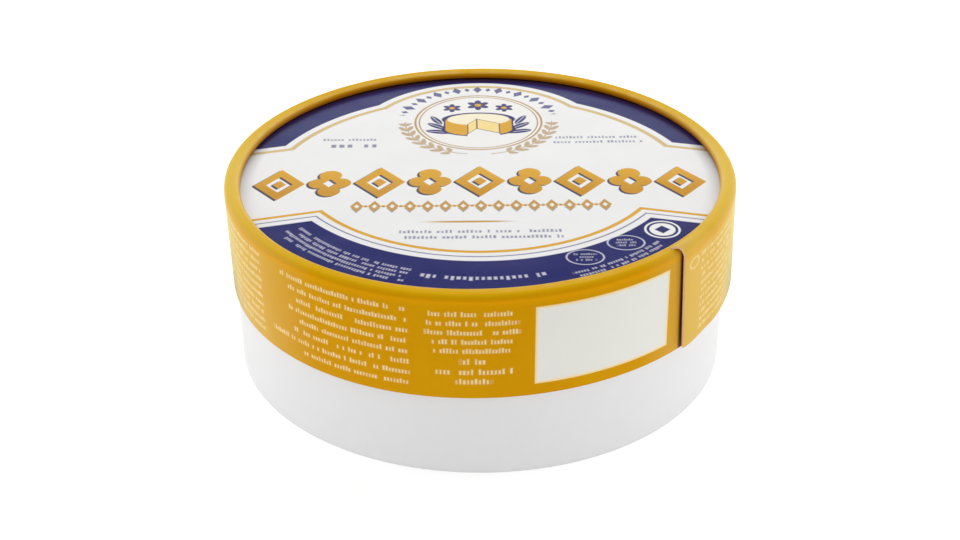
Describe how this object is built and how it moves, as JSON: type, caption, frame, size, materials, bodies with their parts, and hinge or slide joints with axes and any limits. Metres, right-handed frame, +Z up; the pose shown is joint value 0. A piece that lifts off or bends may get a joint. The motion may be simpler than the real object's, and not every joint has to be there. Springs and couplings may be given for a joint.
{
  "type": "camembert box",
  "caption": "Shut round paperboard box of camembert: ochre lid with a folded rim and a printed disc, over a plain white base tray.",
  "frame": {"origin": "middle of the underside, on the surface that the box stands on", "axes": "+Z up, through the middle of the round box; -Y is the front, where the blank date window is on the lid's band; +X is to the right as seen from the front"},
  "size_m": [0.1162, 0.115, 0.0446],
  "materials": {
    "white_board": "uncoated white paperboard, matt",
    "ochre_board": "ochre printed paper over board, satin",
    "printed_label": "coated white paper printed in navy and gold, satin"
  },
  "bodies": {
    "root": {"base_tray": "white_board", "lid_band": "ochre_board", "lid_disc": "printed_label"}
  },
  "joints": []
}
